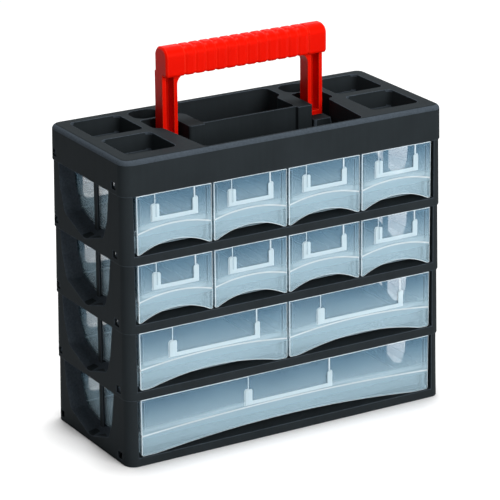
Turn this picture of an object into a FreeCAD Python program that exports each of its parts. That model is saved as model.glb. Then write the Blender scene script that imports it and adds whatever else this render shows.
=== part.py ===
import FreeCAD, Part
import math
import os

os.makedirs("parts", exist_ok=True)

# Millimetres. The origin is the middle of the base, +Z is up and the drawers face -Y.
width = 305.0
depth = 130.6
frame_pitch = 58.0              # height of one stacked frame
tray_height = 30.0
corner_radius = 9.5             # upright outer corners
lean = 1.0                      # the outer walls lean in by this over one frame
wall = 2.5
drawers_in_row = [1, 2, 4, 4]   # from the bottom row up

# Frame round one row of drawers.
shelf_top = 7.5                 # running surface above the frame's foot
shelf_thickness = 2.5
side_depth = 13.5               # hollow side wall, outside to inside
inner_wall = 2.0
post_width = 9.5                # front post beside the drawer fronts
post_depth = 9.0
opening_bevel_depth = 9.0
opening_rim = 2.5
opening_front = 36.0            # lower front corner of the side opening, from the front
opening_back = 27.0             # its lower back corner, from the back
middle_post_width = 6.0
guide_width = 5.0               # rail between two drawers
guide_height = 8.0
guide_skin = 1.5
under_rib_height = 4.5
under_rib_thickness = 1.6
back_sill = 9.0                 # back wall left standing above the shelf
back_post_width = 16.0
back_window_radius = 7.0

# Snap tabs on top of each frame and the windows that they fill.
window_width = 7.2
window_low = 3.6
window_high = 9.6
window_front = 16.3             # middle of the front window, from the front
window_back = 10.3              # middle of the back window, from the back
tab_width = 5.4
tab_thickness = 1.8
tab_clearance = 0.5
tab_reach = 1.6                 # how far the catch stands into its window
catch_clearance = 0.4

# Drawers.
front_margin = 12.5             # outside of the case to the first drawer front
front_gap = 2.2                 # between two drawer fronts
front_thickness = 2.4
front_low = 8.0                 # lower edge above the frame's foot
front_top_gap = 0.5
front_set_back = 0.9            # drawer front behind the skirt's face
box_inset = 2.6                 # drawer side inside the front's edge
box_wall = 1.6
box_floor = 10.5                # underside of the floor above the frame's foot
box_top_gap = 4.0
box_end_gap = 3.2               # clear space behind a closed drawer
box_corner_radius = 4.0
runner_clearance = 0.2
lip_depth = 10.0                # finger space behind the lip
lip_return = 7.0
lip_height = 18.0               # lower edge to the finger space's ceiling
lip_ceiling_rise = 3.2
lip_ceiling_share = 0.64        # part of the width under the raised ceiling

# Label holder on each drawer front.
holder_left_post = 7.0
holder_right_post = 4.8
holder_post_round = 1.6
holder_bar = 3.2
holder_height = 14.0
holder_raise = 0.9
label_recess = 0.5
post_groove_width = 0.9
post_groove_depth = 0.5

# Carrying handle.
grip_length = 153.0
grip_depth = 20.3
grip_height = 24.5
grip_top = 95.7                 # above the bottom of the tray
grip_top_radius = 8.0
grip_low_radius = 3.0
grip_end_round = 1.5
handle_back = 8.5               # grip middle behind the case middle
rib_count = 12
rib_pitch = 9.77
rib_groove = 0.8
rib_shoulder = 2.3
leg_width = 14.0
leg_depth = 12.5
leg_wall = 3.2
leg_fillet = 9.0
foot_plate = 4.0                # closes the leg's channel at its foot
tongue_width = 7.0
tongue_depth = 6.0
tongue_length = 8.0
tongue_clearance = 0.1

# Top tray.
tray_lean = 0.5
tray_floor = 3.0                # underside of the floor above the tray's foot
tray_skin = 2.0
rim_round = 4.5
side_rim = 13.5                 # outside of the tray to the pockets
front_rim = 17.0
back_rim = 12.0
pocket_divider = 9.5
pocket_depth = 14.7
pocket_radius = 5.0
pocket_taper = 1.5
trough_rim = 4.5
trough_front_inset = 1.5        # trough's front corner inside the handle's outer side
trough_back_outset = 3.0        # its back corner outside the same
trough_bend = 5.5               # from the bend, where the trough steps out, back to the leg
wing_step = 4.0
wing_gap = 10.0                 # beside the handle's leg
pad_gap = 3.5                   # between the island's end and the handle's leg
pad_length = 14.5
island_front = 14.0             # in front of the handle's leg
island_step = 3.5
bin_wall = 2.0
bin_flare = 7.0
bin_flare_length = 30.0
bin_back = 8.6
cell_wall = 2.5
cell_width = 27.0
cell_length = 24.0
cell_back = 9.6
cell_radius = 9.0
socket_height = 16.0
socket_front = 13.3             # socket in front of the leg
socket_rim = 1.2
socket_taper = 1.5

front = -depth / 2
back = depth / 2
half = width / 2
tray_base = frame_pitch * len(drawers_in_row)
opening_middle = front + (opening_front + depth - opening_back) / 2
leg_outer = grip_length / 2
leg_inner = leg_outer - leg_width
leg_back = handle_back + grip_depth / 2
leg_front = leg_back - leg_depth
pad_outer = leg_inner - pad_gap
pad_inner = pad_outer - pad_length
wing_outer = leg_outer + wing_gap
wing_back = back - cell_back - cell_length - cell_wall
island_y = leg_front - island_front
over = frame_pitch + 12.0       # past the top of a frame, for cuts that leave it open
under = -1.0


def box(x0, x1, y0, y1, z0, z1):
    corner = FreeCAD.Vector(x0, y0, z0)
    return Part.makeBox(x1 - x0, y1 - y0, z1 - z0, corner)


def flat(z):
    return lambda u, v: FreeCAD.Vector(u, v, z)


def upright(y):
    return lambda u, v: FreeCAD.Vector(u, y, v)


def sideways(x):
    return lambda u, v: FreeCAD.Vector(x, u, v)


def rounded_loop(corners, lift):
    """Closed outline of straight runs and arcs; each corner is (u, v, radius)."""
    ends = []
    for number, (u, v, radius) in enumerate(corners):
        before = corners[number - 1]
        after = corners[(number + 1) % len(corners)]
        ahead = FreeCAD.Vector(after[0] - u, after[1] - v, 0).normalize()
        behind = FreeCAD.Vector(before[0] - u, before[1] - v, 0).normalize()
        corner = FreeCAD.Vector(u, v, 0)
        if radius <= 0:
            ends.append((corner, corner, corner))
            continue
        half_angle = behind.getAngle(ahead) / 2
        inward = (ahead + behind).normalize()
        run = radius / math.tan(half_angle)
        drop = radius / math.sin(half_angle) - radius
        ends.append((corner + behind * run, corner + inward * drop, corner + ahead * run))
    edges = []
    for number, (start, middle, end) in enumerate(ends):
        following = ends[(number + 1) % len(ends)][0]
        if (end - start).Length > 1e-6:
            arc = Part.Arc(lift(start.x, start.y), lift(middle.x, middle.y), lift(end.x, end.y))
            edges.append(arc.toShape())
        if (following - end).Length > 1e-6:
            edges.append(Part.makeLine(lift(end.x, end.y), lift(following.x, following.y)))
    return Part.Wire(edges)


def prism(loop, direction):
    return Part.Face(loop).extrude(direction)


def mirrored(shape):
    return shape.mirror(FreeCAD.Vector(0, 0, 0), FreeCAD.Vector(1, 0, 0))


def both_sides(shapes):
    return shapes + [mirrored(shape) for shape in shapes]


def rectangle(x0, x1, y0, y1, radius):
    return [(x0, y0, radius), (x1, y0, radius), (x1, y1, radius), (x0, y1, radius)]


def leaning_block(inset, z0, z1, lean_per_mm):
    """The case's outline between two heights, pulled in by inset all round."""
    loops = []
    for z in (z0, z1):
        pull = inset + lean_per_mm * z
        outline = rectangle(-half + pull, half - pull, front + pull, back - pull, corner_radius - pull)
        loops.append(rounded_loop(outline, flat(z)))
    return Part.makeLoft(loops, True, True)


def opening_outline(share):
    """Side opening from its outer edge (share 0) to its inner edge (share 1)."""
    near = front + opening_front
    far = back - opening_back
    outer = [(far + 13.6, over, 0.0), (far + 8.0, 36.0, 9.0), (far, 17.0, 7.0),
             (opening_middle, 4.5, 16.0),
             (near, 15.0, 6.0), (near - 6.0, 30.0, 12.0), (near - 11.5, over, 0.0)]
    inner = [(far + 9.0, over, 0.0), (far + 4.5, 38.0, 7.0), (far - 5.0, 19.5, 5.0),
             (opening_middle, 10.5, 12.0),
             (near + 6.0, 18.5, 4.5), (near + 0.5, 31.0, 10.0), (near - 4.5, over, 0.0)]
    corners = []
    for start, end in zip(outer, inner):
        corners.append(tuple(a + (b - a) * share for a, b in zip(start, end)))
    return corners


def side_cavity():
    """Hollow of the left side wall, open below, that leaves a rim round the opening."""
    outline = rounded_loop(opening_outline(0.0), sideways(-half))
    rim = outline.makeOffset2D(opening_rim)
    keep = Part.Face(rim).extrude(FreeCAD.Vector(side_depth, 0, 0))
    ceiling = frame_pitch - wall
    step = front + post_depth + inner_wall
    behind_post = box(-half, -half + post_width - inner_wall, front, step, under, ceiling)
    behind_rail = box(-half, -half + side_depth - inner_wall, step, back, under, ceiling)
    inside = leaning_block(wall, under, ceiling, lean / frame_pitch)
    return behind_post.fuse(behind_rail).common(inside).cut(keep)


def side_opening():
    """Left side opening: a wide bevel, then a return to the inner edge."""
    stations = [(-half - 0.2, 0.0), (-half + opening_bevel_depth, 0.45), (-half + side_depth + 0.2, 1.0)]
    loops = [rounded_loop(opening_outline(share), sideways(x)) for x, share in stations]
    return Part.makeLoft(loops, True, True)


def tab_places():
    return [front + window_front, back - window_back]


def snap_windows(lean_per_mm):
    cuts = []
    inside = wall + lean_per_mm * window_high + 0.6
    for y in tab_places():
        cuts.append(box(-half - 1, -half + inside, y - window_width / 2, y + window_width / 2,
                        window_low, window_high))
    return both_sides(cuts)


def snap_tabs():
    """Tabs that rise from a frame's top behind the next wall, each with a wedge catch."""
    tabs = []
    face = -half + wall + lean * window_high / frame_pitch + tab_clearance
    foot = frame_pitch - wall
    low = frame_pitch + window_low + catch_clearance
    high = frame_pitch + window_high - catch_clearance
    for y in tab_places():
        y0 = y - tab_width / 2
        tab = box(face, face + tab_thickness, y0, y0 + tab_width, foot, high)
        tip = face - tab_reach
        corners = [(face, low, 0), (tip, low, 0), (tip, low + 1, 0), (face, high, 0)]
        catch = prism(rounded_loop(corners, upright(y0)), FreeCAD.Vector(0, tab_width, 0))
        tabs.append(tab.fuse(catch))
    return both_sides(tabs)


def front_width(count):
    return (width - 2 * front_margin - (count - 1) * front_gap) / count


def front_left(count, number):
    return -half + front_margin + number * (front_width(count) + front_gap)


def gap_middles(count):
    return [front_left(count, number) - front_gap / 2 for number in range(1, count)]


def make_frame(count):
    """One open frame: skirt, shelf, hollow sides with their openings, low back wall."""
    inner = half - side_depth
    body = leaning_block(0, 0, frame_pitch, lean / frame_pitch)
    back_face = back - wall - lean
    cuts = [box(-inner, inner, front - 1, back_face, shelf_top, over)]
    reveal = half - post_width
    cuts.append(box(-reveal, reveal, front - 1, front + post_depth, shelf_top, over))
    cuts.append(box(-inner, inner, front + wall, back_face, under, shelf_top - shelf_thickness))
    cuts += both_sides([side_cavity(), side_opening()])
    cuts += snap_windows(lean / frame_pitch)
    edges = [-inner + back_post_width / 2] + gap_middles(count) + [inner - back_post_width / 2]
    for left, right in zip(edges, edges[1:]):
        x0 = left + back_post_width / 2
        x1 = right - back_post_width / 2
        low = shelf_top + back_sill
        corners = [(x0, low, back_window_radius), (x1, low, back_window_radius), (x1, over, 0), (x0, over, 0)]
        window = rounded_loop(corners, upright(back_face - 1))
        cuts.append(prism(window, FreeCAD.Vector(0, wall + lean + 2, 0)))
    body = body.cut(cuts)

    adds = []
    rail = -half + side_depth
    post = box(rail - inner_wall, rail, opening_middle - middle_post_width / 2,
               opening_middle + middle_post_width / 2, shelf_top, frame_pitch)
    adds += both_sides([post])
    rail_front = front + post_depth + 3
    hollows = []
    for x in gap_middles(count):
        adds.append(box(x - guide_width / 2, x + guide_width / 2, rail_front, back_face,
                        shelf_top - shelf_thickness, shelf_top + guide_height))
        hollows.append(box(x - guide_width / 2 + guide_skin, x + guide_width / 2 - guide_skin,
                           rail_front + guide_skin, back_face - guide_skin,
                           under, shelf_top + guide_height - guide_skin))
    shelf_under = shelf_top - shelf_thickness
    for y in (front + depth / 3, back - depth / 3):
        adds.append(box(-inner, inner, y - under_rib_thickness / 2, y + under_rib_thickness / 2,
                        shelf_under - under_rib_height, shelf_under + 0.5))
    adds += snap_tabs()
    body = body.fuse(adds)
    if hollows:
        body = body.cut(hollows)
    return body.removeSplitter()


def ceiling_line(x0, x1, z, lift):
    """Edges from left to right: flat ends and a shallow raised middle."""
    flat_end = (1 - lip_ceiling_share) / 2 * (x1 - x0)
    start = lift(x0, z)
    rise_from = lift(x0 + flat_end, z)
    crown = lift((x0 + x1) / 2, z + lip_ceiling_rise)
    rise_to = lift(x1 - flat_end, z)
    end = lift(x1, z)
    return [Part.makeLine(start, rise_from), Part.Arc(rise_from, crown, rise_to).toShape(),
            Part.makeLine(rise_to, end)]


def below_ceiling(x0, x1, z, y0, y1, far):
    """Solid between the ceiling line at height z and the level far."""
    lift = upright(y0)
    edges = ceiling_line(x0, x1, z, lift)
    edges.append(Part.makeLine(lift(x1, z), lift(x1, far)))
    edges.append(Part.makeLine(lift(x1, far), lift(x0, far)))
    edges.append(Part.makeLine(lift(x0, far), lift(x0, z)))
    return prism(Part.Wire(edges), FreeCAD.Vector(0, y1 - y0, 0))


def front_panel(across, arch_span, arch_rise, corner, blend, top):
    """Drawer front with its arched lower edge, front face at y 0."""
    lift = upright(0)
    end = (across - arch_span) / 2
    corners = [(0, top), (0, front_low), (end, front_low), (across - end, front_low), (across, front_low),
               (across, top)]
    points = [lift(u, v) for u, v in corners]
    crown = lift(across / 2, front_low + arch_rise)
    edges = [Part.makeLine(points[0], points[1]), Part.makeLine(points[1], points[2]),
             Part.Arc(points[2], crown, points[3]).toShape(), Part.makeLine(points[3], points[4]),
             Part.makeLine(points[4], points[5]), Part.makeLine(points[5], points[0])]
    panel = prism(Part.Wire(edges), FreeCAD.Vector(0, front_thickness, 0))
    for places, radius in (((0, across), corner), ((end, across - end), blend)):
        chosen = []
        for edge in panel.Edges:
            middle = edge.CenterOfMass
            on_place = min(abs(middle.x - place) for place in places) < 0.01
            if on_place and abs(middle.z - front_low) < 0.01 and edge.Length < front_thickness + 0.01:
                chosen.append(edge)
        panel = panel.makeFillet(radius, chosen)
    return panel


def make_drawer(count, arch_flat, arch_rise, corner, blend, holder_width, holder_low, grooved):
    """One drawer with its front's left edge at x 0 and its front face at y 0."""
    across = front_width(count)
    top = frame_pitch - front_top_gap
    length = depth - wall - lean - box_end_gap - front_set_back
    x0 = box_inset
    x1 = across - box_inset
    low = box_floor
    high = frame_pitch - box_top_gap
    shell = box(x0, x1, front_thickness / 2, length, low, high)
    back_corners = []
    for edge in shell.Edges:
        middle = edge.CenterOfMass
        if abs(middle.y - length) < 0.01 and abs(middle.z - (low + high) / 2) < 0.01:
            back_corners.append(edge)
    shell = shell.makeFillet(box_corner_radius, back_corners)
    ceiling = front_low + lip_height
    front_wall = lip_depth + box_wall
    inner0 = x0 + box_wall
    inner1 = x1 - box_wall
    reach = length - box_wall
    floor = low + box_wall
    hollow = box(inner0, inner1, front_wall, reach, floor, over)
    hollow_corners = []
    for edge in hollow.Edges:
        middle = edge.CenterOfMass
        if abs(middle.y - reach) < 0.01 and abs(middle.z - (floor + over) / 2) < 0.01:
            hollow_corners.append(edge)
    hollow = hollow.makeFillet(box_corner_radius - box_wall, hollow_corners)
    over_lip = below_ceiling(inner0, inner1, ceiling + box_wall, front_thickness, front_wall + 1, over)
    fingers = below_ceiling(box_wall, across - box_wall, ceiling, front_thickness / 2, lip_depth, under)
    shell = shell.cut([hollow, over_lip, fingers])

    adds = [front_panel(across, across - 2 * arch_flat, arch_rise, corner, blend, top)]
    for side in (0, across - box_wall):
        adds.append(box(side, side + box_wall, front_thickness / 2, lip_return, front_low + corner, ceiling))
    runner_low = shelf_top + runner_clearance
    for side in (x0, x1 - box_wall):
        adds.append(box(side, side + box_wall, front_wall, length - box_corner_radius, runner_low, floor))
    left = (across - holder_width) / 2
    right = left + holder_width
    posts = ((left, left + holder_left_post), (right - holder_right_post, right))
    proud = FreeCAD.Vector(0, holder_raise + label_recess, 0)
    for start, end in posts:
        post_top = holder_low + holder_height
        corners = [(start, holder_low, 0), (end, holder_low, 0), (end, post_top, holder_post_round),
                   (start, post_top, holder_post_round)]
        adds.append(prism(rounded_loop(corners, upright(-holder_raise)), proud))
    adds.append(box(left, right, -holder_raise, label_recess, holder_low, holder_low + holder_bar))
    body = shell.fuse(adds)
    cuts = [box(left + holder_left_post / 2, right - holder_right_post / 2, 0, label_recess,
                holder_low + holder_bar / 2, top + 1)]
    if grooved:
        groove = left + (holder_left_post - post_groove_width) / 2
        cuts.append(box(groove, groove + post_groove_width, -holder_raise - 1,
                        -holder_raise + post_groove_depth, holder_low + holder_bar, over))
    return body.cut(cuts).removeSplitter()


def grip_section(x, inset):
    reach = grip_depth / 2 - inset
    low = tray_base + grip_top - grip_height + inset
    high = tray_base + grip_top - inset
    top_radius = grip_top_radius - inset
    low_radius = grip_low_radius - inset
    corners = [(handle_back - reach, low, low_radius), (handle_back + reach, low, low_radius),
               (handle_back + reach, high, top_radius), (handle_back - reach, high, top_radius)]
    return rounded_loop(corners, lambda u, v: FreeCAD.Vector(x, u, v))


def make_handle():
    """Ribbed grip on two channel legs, each with a tongue for its socket."""
    end = grip_length / 2
    ribs_from = -rib_count * rib_pitch / 2
    sections = [grip_section(-end, grip_end_round), grip_section(-end + grip_end_round, 0)]
    sections.append(grip_section(ribs_from - rib_shoulder / 2, 0))
    for number in range(rib_count):
        x = ribs_from + number * rib_pitch
        sections.append(grip_section(x, rib_groove))
        sections.append(grip_section(x + rib_shoulder, 0))
        sections.append(grip_section(x + rib_pitch - rib_shoulder, 0))
    sections.append(grip_section(-ribs_from, rib_groove))
    sections.append(grip_section(-ribs_from + rib_shoulder / 2, 0))
    sections += [grip_section(end - grip_end_round, 0), grip_section(end, grip_end_round)]
    grip = Part.makeLoft(sections, True, True)

    foot = tray_base + socket_height
    underside = tray_base + grip_top - grip_height
    outside = -leg_outer
    inside = -leg_inner
    leg = box(outside, inside, leg_front, leg_back, foot, underside + grip_low_radius)
    channel = box(outside + leg_wall, inside - leg_wall, leg_front - 1, leg_back - leg_wall,
                  foot + foot_plate, underside)
    lift = upright(leg_front)
    bend = leg_fillet * (1 - math.sqrt(0.5))
    tie = [Part.makeLine(lift(inside, underside - leg_fillet), lift(inside - 1, underside - leg_fillet)),
           Part.makeLine(lift(inside - 1, underside - leg_fillet), lift(inside - 1, underside + 1)),
           Part.makeLine(lift(inside - 1, underside + 1), lift(inside + leg_fillet, underside + 1)),
           Part.makeLine(lift(inside + leg_fillet, underside + 1), lift(inside + leg_fillet, underside)),
           Part.Arc(lift(inside + leg_fillet, underside), lift(inside + bend, underside - bend),
                    lift(inside, underside - leg_fillet)).toShape()]
    fillet = prism(Part.Wire(tie), FreeCAD.Vector(0, leg_depth, 0))
    middle_x = (outside + inside) / 2
    tongue_y = leg_back - leg_wall / 2 - tongue_depth / 2
    tongue = box(middle_x - tongue_width / 2, middle_x + tongue_width / 2, tongue_y - tongue_depth / 2,
                 tongue_y + tongue_depth / 2, foot - tongue_length, foot + leg_wall)
    pieces = both_sides([leg.cut(channel), fillet, tongue])
    return grip.fuse(pieces).removeSplitter()


def tapered_pocket(x0, x1, y0, y1, radius, grow, z0, z1):
    """Pocket, or with grow the outside of its skin, narrower at the bottom."""
    loops = []
    for z, pull in ((z0, pocket_taper - grow), (z1, -grow)):
        outline = rectangle(x0 + pull, x1 - pull, y0 + pull, y1 - pull, max(radius - pull, 1.0))
        loops.append(rounded_loop(outline, flat(z)))
    return Part.makeLoft(loops, True, True)


def tray_well(corners, grow, z0, z1):
    loop = rounded_loop(corners, flat(z0))
    if grow:
        loop = loop.makeOffset2D(grow)
    return prism(loop, FreeCAD.Vector(0, 0, z1 - z0))


def trough_corners():
    """Plan of the front well: a long trough with a wing beside each end of the island."""
    bend = leg_front - trough_bend
    right = [(leg_outer - trough_front_inset, front + trough_rim, 5.0),
             (leg_outer + trough_back_outset, bend, 4.0), (wing_outer, bend + wing_step, 4.0),
             (wing_outer, wing_back, 4.0), (pad_outer, wing_back, 3.0), (pad_outer, island_y, 2.5),
             (pad_inner, island_y, 1.2), (pad_inner, island_y + island_step, 1.2)]
    left = [(-x, y, radius) for x, y, radius in reversed(right)]
    return right + left


def make_tray():
    """Top tray: rim and deck, pockets, trough round an island with its bin, leg sockets."""
    pocket_inner = wing_outer + side_rim / 2
    pocket_outer = half - side_rim
    pocket_length = (depth - front_rim - back_rim - pocket_divider) / 2
    deck_under = tray_height - tray_skin
    floor = tray_floor + tray_skin
    block = leaning_block(0, 0, tray_height, tray_lean / tray_height)
    rim = [edge for edge in block.Edges if edge.BoundBox.ZMin > tray_height - 0.01]
    block = block.makeFillet(rim_round, rim)

    rows = ((front + front_rim, front + front_rim + pocket_length),
            (back - back_rim - pocket_length, back - back_rim))
    pocket_floor = tray_height - pocket_depth
    rooms = [(pocket_inner, pocket_outer, y0, y1, pocket_radius, pocket_floor) for y0, y1 in rows]
    cell_front = wing_back + cell_wall
    cell_end = back - cell_back
    rooms.append((pad_outer, pad_outer + cell_width, cell_front, cell_end, cell_radius, floor))
    bin_end = back - bin_back
    bin_front = island_y + island_step + bin_wall
    bin_half = [(pad_inner, bin_front, 4.0), (pad_inner, bin_end - bin_flare_length, 6.0),
                (pad_inner + bin_flare, bin_end - bin_flare_length + bin_flare, 6.0),
                (pad_inner + bin_flare, bin_end, 6.0)]
    bin_corners = bin_half + [(-x, y, radius) for x, y, radius in reversed(bin_half)]
    trough = trough_corners()

    skins = [tray_well(trough, tray_skin, tray_floor, tray_height),
             tray_well(bin_corners, tray_skin, tray_floor, tray_height)]
    wells = [tray_well(trough, 0, floor, tray_height + 1), tray_well(bin_corners, 0, floor, tray_height + 1)]
    for x0, x1, y0, y1, radius, low in rooms:
        skin = tapered_pocket(x0, x1, y0, y1, radius, tray_skin, low - tray_skin, tray_height)
        well = tapered_pocket(x0, x1, y0, y1, radius, 0, low, tray_height)
        skins += both_sides([skin])
        wells += both_sides([well])
    core = leaning_block(wall, under, deck_under, tray_lean / tray_height).cut(skins)
    tray = block.cut([core] + wells + snap_windows(tray_lean / tray_height))
    loops = []
    for z, pull in ((tray_floor, 0), (socket_height, socket_taper)):
        spread = socket_rim + socket_taper - pull
        outline = rectangle(leg_inner - spread, leg_outer + spread,
                            leg_front - socket_front - socket_taper + pull, leg_back + spread, 2.0)
        loops.append(rounded_loop(outline, flat(z)))
    socket = Part.makeLoft(loops, True, True)
    middle_x = (leg_outer + leg_inner) / 2
    tongue_y = leg_back - leg_wall / 2 - tongue_depth / 2
    spread_x = tongue_width / 2 + tongue_clearance
    spread_y = tongue_depth / 2 + tongue_clearance
    mortise = box(middle_x - spread_x, middle_x + spread_x, tongue_y - spread_y, tongue_y + spread_y,
                  socket_height - tongue_length - tongue_clearance, socket_height + 1)
    tray = tray.fuse(both_sides([socket])).cut(both_sides([mortise]))
    return tray.removeSplitter()


def save(name, shape, x, y, z):
    placed = shape.copy()
    placed.translate(FreeCAD.Vector(x, y, z))
    solids = placed.Solids
    if len(solids) == 1:
        placed = solids[0]
    placed.exportStep("parts/" + name + ".step")
    bounds = placed.BoundBox
    lengths = "%.1f %.1f %.1f" % (bounds.XLength, bounds.YLength, bounds.ZLength)
    print(name, len(solids), placed.isValid(), lengths)


row_names = ["bottom", "lower", "upper", "top"]
frames = {}
for row, count in enumerate(drawers_in_row):
    if count not in frames:
        frames[count] = make_frame(count)
    save("frame_" + row_names[row], frames[count], 0, 0, row * frame_pitch)

# Flat end of the arch, its rise, corner radius, blend radius; the label holder's width, its height above
# the frame's foot, and whether its left post is grooved.
fronts = {
    1: (14.0, 7.5, 2.0, 40.0, 85.0, 32.0, False),
    2: (9.0, 8.1, 2.0, 24.0, 85.0, 32.0, False),
    4: (2.5, 8.2, 0.8, 5.0, 42.0, 35.0, True),
}
sizes = {1: "large", 2: "medium", 4: "small"}
drawers = {}
for row, count in enumerate(drawers_in_row):
    if count not in drawers:
        drawers[count] = make_drawer(count, *fronts[count])
    for number in range(count):
        name = "drawer_" + sizes[count] + "_" + row_names[row]
        if count > 1:
            name += "_" + str(number + 1)
        save(name, drawers[count], front_left(count, number), front + front_set_back, row * frame_pitch)

save("tray", make_tray(), 0, 0, tray_base)
save("handle", make_handle(), 0, 0, 0)
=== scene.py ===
import bpy
import math
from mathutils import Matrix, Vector


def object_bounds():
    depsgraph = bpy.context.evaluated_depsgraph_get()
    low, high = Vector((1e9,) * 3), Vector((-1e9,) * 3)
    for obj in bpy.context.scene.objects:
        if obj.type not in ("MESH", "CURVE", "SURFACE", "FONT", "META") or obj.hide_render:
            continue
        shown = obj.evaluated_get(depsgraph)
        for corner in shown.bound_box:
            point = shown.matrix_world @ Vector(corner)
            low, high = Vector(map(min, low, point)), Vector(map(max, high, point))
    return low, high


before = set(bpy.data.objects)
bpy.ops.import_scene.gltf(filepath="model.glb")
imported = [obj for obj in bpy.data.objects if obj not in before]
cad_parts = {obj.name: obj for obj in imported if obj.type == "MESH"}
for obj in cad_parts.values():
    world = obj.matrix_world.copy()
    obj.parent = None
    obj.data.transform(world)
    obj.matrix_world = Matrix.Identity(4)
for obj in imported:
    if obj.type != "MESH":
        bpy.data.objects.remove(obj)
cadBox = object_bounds()
print("frame loaded:", len(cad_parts), "nodes")


def linearColour(hexText):  # the standard sRGB curve, undone
    channels = []
    for place in (0, 2, 4):
        value = int(hexText[place:place + 2], 16) / 255
        channels.append(value / 12.92 if value <= 0.04045 else ((value + 0.055) / 1.055) ** 2.4)
    return (*channels, 1.0)


# An input is a socket to link, a hex colour or a plain value. A Mix node's inputs go by number: 0 is the
# share, 2 and 3 are its numbers, 6 and 7 its colours.
def addNode(tree, kind, inputs, **settings):
    node = tree.nodes.new(kind)
    for name, setting in settings.items():
        setattr(node, name, setting)
    for name, given in inputs.items():
        if isinstance(given, bpy.types.NodeSocket):
            tree.links.new(given, node.inputs[name])
        else:
            node.inputs[name].default_value = linearColour(given) if isinstance(given, str) else given
    return node


def newMaterial(name):
    material = bpy.data.materials.new(name)
    material.use_nodes = True
    material.node_tree.nodes.clear()
    return material, material.node_tree


# Each pattern has a size in metres, a detail and a stretch along x, y and z.
def addPatterns(tree, place, patterns):
    noise = {}
    for patternName, (size, detail, stretch) in patterns.items():
        scaled = addNode(tree, "ShaderNodeMapping",
                         {"Vector": place, "Scale": [1 / (size * longer) for longer in stretch]})
        pattern = addNode(tree, "ShaderNodeTexNoise",
                          {"Vector": scaled.outputs["Vector"], "Scale": 1.0, "Detail": detail})
        noise[patternName] = pattern.outputs["Fac"]
    return noise


wholeRange = (0.0, 1.0)
evenly = (1.0, 1.0, 1.0)
white = "ffffff"


def fromTo(fromSpan, toSpan=wholeRange):  # Map Range's four values
    return {"From Min": fromSpan[0], "From Max": fromSpan[1], "To Min": toSpan[0], "To Max": toSpan[1]}


def inside(span):  # the middle and reach with which a Compare gives 1 inside the span
    return {1: (span[0] + span[1]) / 2, 2: (span[1] - span[0]) / 2}


# Black polypropylene, injection moulded in a spark-eroded tool: a dull grain with faint flow streaks.
# Its up-facing rims and its edges are painted a paler grey, partly wear where the case is handled and
# stacked, partly a painted highlight where they face the light.
casePlastic = {
    "body": "1d2123",
    "patchy": "282d30",
    # paler grey for rims and edges: wear and a painted highlight together
    "rubbedAndLit": "56606b",
    "patterns": {
        "patches": (0.035, 4.0, evenly),
        "streaks": (0.004, 2.0, (1.0, 1.0, 14.0)),
        "scuffs": (0.0016, 3.0, evenly),
        "grain": (0.0009, 2.0, evenly),  # the real grit is 0.1 mm; this is as fine as the picture shows
    },
    "streakSpan": (0.35, 0.80),
    "streakShare": (0.0, 0.35),
    "scuffSpan": (0.25, 0.75),
    "slopes": (0.12, 0.92),    # how far up a face looks that gets the painted highlight and wear
    "slopeShare": (0.24, 0.46),
    # share of the paler grey on the edge strips: wear and a painted highlight
    "edgeShare": (0.15, 0.50),
    "grainStrength": 0.35,
    "grainHeight": 0.00005,
    "roughness": (0.44, 0.60),
    "ior": 1.49,
    "specular": 0.012,         # the grain breaks up nearly all of the shine
    "sheen": "c6daea",
}


def makeCaseMaterial(name, isEdge):
    material, tree = newMaterial(name)
    place = addNode(tree, "ShaderNodeTexCoord", {}).outputs["Object"]
    noise = addPatterns(tree, place, casePlastic["patterns"])
    streaks = addNode(tree, "ShaderNodeMapRange", {
        "Value": noise["streaks"],
        **fromTo(casePlastic["streakSpan"], casePlastic["streakShare"])}).outputs["Result"]
    wearAndHighlightShare = casePlastic["edgeShare" if isEdge else "slopeShare"]
    wearAndHighlight = addNode(tree, "ShaderNodeMapRange", {
        "Value": noise["scuffs"], **fromTo(casePlastic["scuffSpan"], wearAndHighlightShare)}).outputs["Result"]
    # faces turned up get the paler grey as a painted highlight, broken up by the scuff noise as wear
    if not isEdge:
        normal = addNode(tree, "ShaderNodeNewGeometry", {}).outputs["Normal"]
        facing = addNode(tree, "ShaderNodeSeparateXYZ", {"Vector": normal}).outputs["Z"]
        sloped = addNode(tree, "ShaderNodeMath", {0: facing, **inside(casePlastic["slopes"])},
                         operation="COMPARE").outputs["Value"]
        wearAndHighlight = addNode(tree, "ShaderNodeMath", {0: sloped, 1: wearAndHighlight}, operation="MULTIPLY").outputs["Value"]
    colour = casePlastic["body"]
    for share, tone in ((noise["patches"], "patchy"), (streaks, "patchy"), (wearAndHighlight, "rubbedAndLit")):
        colour = addNode(tree, "ShaderNodeMix", {0: share, 6: colour, 7: casePlastic[tone]},
                         data_type="RGBA").outputs[2]
    roughness = addNode(tree, "ShaderNodeMapRange", {
        "Value": noise["patches"], **fromTo(wholeRange, casePlastic["roughness"])}).outputs["Result"]
    bump = addNode(tree, "ShaderNodeBump", {
        "Height": noise["grain"], "Strength": casePlastic["grainStrength"],
        "Distance": casePlastic["grainHeight"]})
    shader = addNode(tree, "ShaderNodeBsdfPrincipled", {
        "Base Color": colour, "Roughness": roughness, "Normal": bump.outputs["Normal"],
        "IOR": casePlastic["ior"], "Specular IOR Level": casePlastic["specular"],
        "Specular Tint": casePlastic["sheen"]})
    addNode(tree, "ShaderNodeOutputMaterial", {"Surface": shader.outputs["BSDF"]})
    return material
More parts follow.
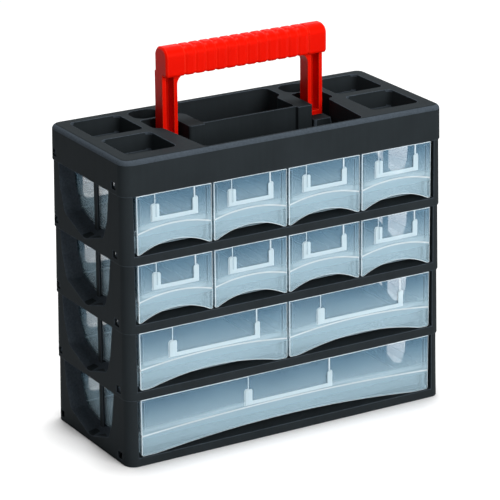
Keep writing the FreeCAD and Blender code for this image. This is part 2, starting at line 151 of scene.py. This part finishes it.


# Natural polypropylene, thin and injection moulded: milky and see-through. The panel is clearest at its
# top, and the finger space behind the lip and the label holder are thicker and milkier. The front edges and
# the arched line get a painted highlight, and a pale strip painted on the panel's back stands in for the
# lit ledge seen through it.
# Depths are measured from the case's middle and heights from the foot of a row, all in metres.
drawerPlastic = {
    "body": "5f8fb0",
    "cloudy": "86afc8",
    "pale": "a9c6d4",
    "milky": "c4d8e1",
    "edge": "e6f1f6",
    "opacity": (0.19, 0.27),
    "patterns": {"clouds": (0.045, 2.0, evenly), "ripples": (0.009, 1.0, evenly)},
    "areas": {                 # a tone, an opacity and its limits; each area lies over the ones before it
        "foot": ("pale", 0.41, [("height", "fade", (0.054, 0.030))]),
        "lip": ("pale", 0.34, [("height", "inside", (0.0, 0.0235))]),
        # painted highlight on the front edge strips
        "edge": ("edge", 0.84, [("depth", "inside", (-0.0700, -0.0635))]),
        "ledge": ("milky", 0.60, [("depth", "inside", (-0.0614, -0.0522)),
                                  ("height", "inside", (0.0245, 0.0314))]),
        # painted light: a pale strip on the panel's back, in place of the lit ledge top seen through the
        # front
        "paintedLitBand": ("milky", 0.62, [("depth", "inside", (-0.0634, -0.0610)),
                                 ("aboveSeam", "fade", (-0.0018, -0.0008)),
                                 ("aboveSeam", "fade", (0.0048, 0.0024))]),
        # painted highlight along the arched line where the finger space meets the front
        "seamHighlight": ("edge", 0.48, [("depth", "inside", (-0.06446, -0.0634)),
                                ("aboveSeam", "inside", (-0.0007, 0.0006))]),
        "holder": ("milky", 0.70, [("depth", "inside", (-0.0700, -0.06446))]),
    },
    "edgeShare": (0.40, 1.0),  # of the edge tone, behind the front and on it
    "rows": {"large": 1, "medium": 2, "small": 4},  # drawers side by side
    "rowPitch": 0.058,         # from the foot of one row to the next
    "frontsLeft": 0.140,       # from the case's middle to the row's left edge
    "frontsWidth": 0.280,
    "frontGap": 0.0022,
    "seamHeight": (0.0306, 0.0256),  # at a drawer's middle and at its sides
    "rippleStrength": 0.05,
    "rippleHeight": 0.00003,
    "roughness": (0.20, 0.30),
    "ior": 1.49,
    "specular": 0.2,
}


# How far a place is above the arched line where the finger space meets the front.
def measureAboveSeam(tree, across, height, count):
    pitch = (drawerPlastic["frontsWidth"] + drawerPlastic["frontGap"]) / count
    halfWidth = (pitch - drawerPlastic["frontGap"]) / 2
    fromLeft = addNode(tree, "ShaderNodeMath", {0: across, 1: drawerPlastic["frontsLeft"]}, operation="ADD")
    along = addNode(tree, "ShaderNodeMath", {0: fromLeft.outputs["Value"], 1: pitch}, operation="MODULO")
    aside = addNode(tree, "ShaderNodeMath", {0: along.outputs["Value"], 1: halfWidth},
                    operation="SUBTRACT").outputs["Value"]
    squared = addNode(tree, "ShaderNodeMath", {0: aside, 1: aside}, operation="MULTIPLY")
    arch = addNode(tree, "ShaderNodeMapRange", {
        "Value": squared.outputs["Value"], **fromTo((0.0, halfWidth ** 2), drawerPlastic["seamHeight"])})
    return addNode(tree, "ShaderNodeMath", {0: height, 1: arch.outputs["Result"]},
                   operation="SUBTRACT").outputs["Value"]


def makeDrawerMaterial(name, isEdge, count):
    material, tree = newMaterial(name)
    place = addNode(tree, "ShaderNodeTexCoord", {}).outputs["Object"]
    noise = addPatterns(tree, place, drawerPlastic["patterns"])
    axes = addNode(tree, "ShaderNodeSeparateXYZ", {"Vector": place}).outputs
    height = addNode(tree, "ShaderNodeMath", {0: axes["Z"], 1: drawerPlastic["rowPitch"]},
                     operation="MODULO").outputs["Value"]
    measures = {"depth": axes["Y"], "height": height,
                "aboveSeam": measureAboveSeam(tree, axes["X"], height, count)}
    colour = addNode(tree, "ShaderNodeMix", {0: noise["clouds"], 6: drawerPlastic["body"],
                                             7: drawerPlastic["cloudy"]}, data_type="RGBA").outputs[2]
    opacity = addNode(tree, "ShaderNodeMapRange", {
        "Value": noise["clouds"], **fromTo(wholeRange, drawerPlastic["opacity"])}).outputs["Result"]
    for areaName, (tone, cover, limits) in drawerPlastic["areas"].items():
        if areaName == "edge" and not isEdge:
            continue
        share = None
        for measure, how, span in limits:
            if how == "inside":
                limit = addNode(tree, "ShaderNodeMath", {0: measures[measure], **inside(span)},
                                operation="COMPARE").outputs["Value"]
            else:
                limit = addNode(tree, "ShaderNodeMapRange",
                                {"Value": measures[measure], **fromTo(span)}).outputs["Result"]
            if share is not None:
                limit = addNode(tree, "ShaderNodeMath", {0: share, 1: limit},
                                operation="MULTIPLY").outputs["Value"]
            share = limit
        if areaName == "edge":
            share = addNode(tree, "ShaderNodeMapRange", {
                "Value": share, **fromTo(wholeRange, drawerPlastic["edgeShare"])}).outputs["Result"]
        colour = addNode(tree, "ShaderNodeMix", {0: share, 6: colour, 7: drawerPlastic[tone]},
                         data_type="RGBA").outputs[2]
        opacity = addNode(tree, "ShaderNodeMix", {0: share, 2: opacity, 3: cover},
                          data_type="FLOAT").outputs[0]
    roughness = addNode(tree, "ShaderNodeMapRange", {
        "Value": noise["clouds"], **fromTo(wholeRange, drawerPlastic["roughness"])}).outputs["Result"]
    bump = addNode(tree, "ShaderNodeBump", {
        "Height": noise["ripples"], "Strength": drawerPlastic["rippleStrength"],
        "Distance": drawerPlastic["rippleHeight"]})
    shader = addNode(tree, "ShaderNodeBsdfPrincipled", {
        "Base Color": colour, "Roughness": roughness, "Alpha": opacity, "Normal": bump.outputs["Normal"],
        "IOR": drawerPlastic["ior"], "Specular IOR Level": drawerPlastic["specular"]})
    addNode(tree, "ShaderNodeOutputMaterial", {"Surface": shader.outputs["BSDF"]})
    return material


# Red ABS, moulded in a polished tool: a soft sheen. Corners are painted paler, partly wear from hands on
# the ribs and partly a painted highlight, and the grooves between the ribs get painted shade.
handlePlastic = {
    "body": "de1002",
    "deep": "c90b02",
    # dark red painted into the grooves between the ribs: painted shade
    "paintedGrooveShade": "7a0500",
    # paler red on the corners: wear and a painted highlight
    "rubbedAndLit": "fb4a30",
    "patterns": {"patches": (0.030, 3.0, evenly), "grain": (0.0014, 2.0, evenly)},
    "cornerRadius": 0.0009,
    "cornerSamples": 6,
    "cornerTurn": (1.0, 0.85),  # how well the rounded normal agrees with the true one, off and on a corner
    "rubAndHighlightShare": (0.0, 0.6),
    "gripHeight": (0.3030, 0.3300),
    "hollow": (0.488, 0.45),   # how sharply a vertex turns inward in the grooves between the ribs
    "grooveShare": (0.0, 0.85),
    "grainStrength": 0.3,
    "grainHeight": 0.00004,
    "roughness": (0.30, 0.42),
    "ior": 1.53,
    "specular": 0.05,
    "sheen": "ffb090",
}


def makeHandleMaterial(name):
    material, tree = newMaterial(name)
    place = addNode(tree, "ShaderNodeTexCoord", {}).outputs["Object"]
    noise = addPatterns(tree, place, handlePlastic["patterns"])
    rounded = addNode(tree, "ShaderNodeBevel", {"Radius": handlePlastic["cornerRadius"]},
                      samples=handlePlastic["cornerSamples"]).outputs["Normal"]
    surface = addNode(tree, "ShaderNodeNewGeometry", {}).outputs
    turn = addNode(tree, "ShaderNodeVectorMath", {0: rounded, 1: surface["Normal"]},
                   operation="DOT_PRODUCT")
    # corners painted paler where the rounded normal turns away: wear and a painted highlight
    rubAndHighlight = addNode(tree, "ShaderNodeMapRange", {
        "Value": turn.outputs["Value"], **fromTo(handlePlastic["cornerTurn"], handlePlastic["rubAndHighlightShare"])})
    height = addNode(tree, "ShaderNodeSeparateXYZ", {"Vector": place}).outputs["Z"]
    atGrip = addNode(tree, "ShaderNodeMath", {0: height, **inside(handlePlastic["gripHeight"])},
                     operation="COMPARE").outputs["Value"]
    # grooves on the grip darkened where the surface turns inward: painted shade
    hollow = addNode(tree, "ShaderNodeMapRange", {
        "Value": surface["Pointiness"], **fromTo(handlePlastic["hollow"], handlePlastic["grooveShare"])})
    paintedGrooveShade = addNode(tree, "ShaderNodeMath", {0: atGrip, 1: hollow.outputs["Result"]},
                     operation="MULTIPLY").outputs["Value"]
    colour = handlePlastic["body"]
    for share, tone in ((noise["patches"], "deep"), (rubAndHighlight.outputs["Result"], "rubbedAndLit"), (paintedGrooveShade, "paintedGrooveShade")):
        colour = addNode(tree, "ShaderNodeMix", {0: share, 6: colour, 7: handlePlastic[tone]},
                         data_type="RGBA").outputs[2]
    roughness = addNode(tree, "ShaderNodeMapRange", {
        "Value": noise["patches"], **fromTo(wholeRange, handlePlastic["roughness"])}).outputs["Result"]
    bump = addNode(tree, "ShaderNodeBump", {
        "Height": noise["grain"], "Normal": rounded, "Strength": handlePlastic["grainStrength"],
        "Distance": handlePlastic["grainHeight"]})
    shader = addNode(tree, "ShaderNodeBsdfPrincipled", {
        "Base Color": colour, "Roughness": roughness, "Normal": bump.outputs["Normal"],
        "IOR": handlePlastic["ior"], "Specular IOR Level": handlePlastic["specular"],
        "Specular Tint": handlePlastic["sheen"]})
    addNode(tree, "ShaderNodeOutputMaterial", {"Surface": shader.outputs["BSDF"]})
    return material


finishes = {
    "case": makeCaseMaterial("blackPolypropyleneMoulded", False),
    # edge strips painted paler: wear and a painted highlight
    "caseEdge": makeCaseMaterial("blackPolypropyleneRubbedLitEdge", True),
    "handle": makeHandleMaterial("redAbsMoulded"),
}
for row, count in drawerPlastic["rows"].items():
    finishes[row] = makeDrawerMaterial("naturalPolypropyleneMoulded_" + row, False, count)
    finishes[row + "Edge"] = makeDrawerMaterial("naturalPolypropyleneEdge_" + row, True, count)
print("materials made:", ", ".join(sorted(material.name for material in finishes.values())))

# Small moulded radii, which catch the light as thin lines.
edges = {
    "caseRadius": 0.0004,
    "drawerRadius": 0.00045,
    "segments": 2,
    "sharperThan": 32.0,       # degrees
    "joinWithin": 0.000001,
    "faceWeight": 100,
}


def roundEdges(node, radius, edgeFinish):
    node.data.materials.append(edgeFinish)
    weld = node.modifiers.new("joinTriangles", "WELD")
    weld.merge_threshold = edges["joinWithin"]
    bevel = node.modifiers.new("edgeRadius", "BEVEL")
    bevel.width = radius
    bevel.segments = edges["segments"]
    bevel.limit_method = "ANGLE"
    bevel.angle_limit = math.radians(edges["sharperThan"])
    bevel.loop_slide = False
    bevel.use_clamp_overlap = False
    bevel.material = 1         # the second slot, the edge finish
    shading = node.modifiers.new("shading", "WEIGHTED_NORMAL")
    shading.keep_sharp = True
    shading.weight = edges["faceWeight"]


for nodeName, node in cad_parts.items():
    if nodeName == "handle":   # its shader rounds its corners, because a bevel spikes on its ribs
        node.material_slots[0].material = finishes["handle"]
        continue
    isDrawer = nodeName.startswith("drawer")
    kind = nodeName.split("_")[1] if isDrawer else "case"
    node.material_slots[0].material = finishes[kind]
    roundEdges(node, edges["drawerRadius" if isDrawer else "caseRadius"], finishes[kind + "Edge"])
print("case, drawers and handle finished")

# White studio: the paper reads as white, keeps the case's shadow, and gives only plain light back.
studio = {
    "paper": "e4e4e4",
    "paperSize": 6.0,
    "paperRoughness": 0.9,
    "paperGlow": 0.36,
    "contactReach": 0.03,      # the glow dims this close to the case: a painted contact shadow
    "contactSamples": 16,
    "openSky": (0.45, 0.95),   # share of free view between which the glow comes back
    "ambient": 0.19,
    "seen": 1.0,               # the room's own white, as the camera and the plastic's shine see it
}


def seenDirectly(tree):  # 1 for camera, mirror and see-through rays, 0 for soft light
    rays = addNode(tree, "ShaderNodeLightPath", {}).outputs
    seen = rays["Is Camera Ray"]
    for kind in ("Is Glossy Ray", "Is Transmission Ray"):
        seen = addNode(tree, "ShaderNodeMath", {0: seen, 1: rays[kind]},
                       operation="MAXIMUM").outputs["Value"]
    return seen


def makePaper():
    material, tree = newMaterial("whitePaperMatt")
    # the paper's glow is dimmed near the case by ambient occlusion, a painted contact shadow over the real
    # one
    contact = addNode(tree, "ShaderNodeAmbientOcclusion", {"Distance": studio["contactReach"]},
                      samples=studio["contactSamples"])
    lit = addNode(tree, "ShaderNodeMapRange", {
        "Value": contact.outputs["AO"], **fromTo(studio["openSky"], (0.0, studio["paperGlow"]))})
    glow = addNode(tree, "ShaderNodeMath", {0: seenDirectly(tree), 1: lit.outputs["Result"]},
                   operation="MULTIPLY")
    shader = addNode(tree, "ShaderNodeBsdfPrincipled", {
        "Base Color": studio["paper"], "Roughness": studio["paperRoughness"], "Specular IOR Level": 0.0,
        "Emission Color": white, "Emission Strength": glow.outputs["Value"]})
    addNode(tree, "ShaderNodeOutputMaterial", {"Surface": shader.outputs["BSDF"]})
    bpy.ops.object.select_all(action="DESELECT")
    bpy.ops.mesh.primitive_plane_add(size=studio["paperSize"], location=(0.0, 0.0, cadBox[0].z))
    paper = bpy.context.object
    paper.name = "studioPaper"
    paper.data.materials.append(material)


def makeRoom():
    world = bpy.data.worlds.new("studioRoom")
    bpy.context.scene.world = world
    world.use_nodes = True
    tree = world.node_tree
    tree.nodes.clear()
    strength = addNode(tree, "ShaderNodeMix", {
        0: seenDirectly(tree), 2: studio["ambient"], 3: studio["seen"]}, data_type="FLOAT").outputs[0]
    background = addNode(tree, "ShaderNodeBackground", {"Color": white, "Strength": strength})
    addNode(tree, "ShaderNodeOutputWorld", {"Surface": background.outputs["Background"]})


makePaper()
makeRoom()

lamps = {                      # square lamps, size in metres and power in watts
    "keyLamp": {"place": (0.35, -2.4, 1.25), "size": 1.6, "power": 72.0},
    "topLamp": {"place": (0.15, 0.25, 2.4), "size": 0.7, "power": 50.0},
}
lampTarget = Vector((0.0, 0.0, 0.15))
for lampName, lamp in lamps.items():
    light = bpy.data.lights.new(lampName, "AREA")
    light.size = lamp["size"]
    light.energy = lamp["power"]
    holder = bpy.data.objects.new(lampName, light)
    holder.location = lamp["place"]
    holder.rotation_euler = (Vector(lamp["place"]) - lampTarget).to_track_quat("Z", "Y").to_euler()
    bpy.context.scene.collection.objects.link(holder)
print("studio lit")

cameraView = {
    "place": (-1.14737, -1.96469, 0.94626),
    "turn": (70.525, 0.4644, -30.4771),  # degrees
    "lens": 206.235,           # millimetres, as the sensor
    "sensor": 36.0,
}
lens = bpy.data.cameras.new("studioCamera")
lens.lens = cameraView["lens"]
lens.sensor_width = cameraView["sensor"]
camera = bpy.data.objects.new("studioCamera", lens)
camera.location = cameraView["place"]
camera.rotation_euler = [math.radians(angle) for angle in cameraView["turn"]]
bpy.context.scene.collection.objects.link(camera)
bpy.context.scene.camera = camera
bpy.context.scene.view_settings.view_transform = "Standard"
print("camera placed")
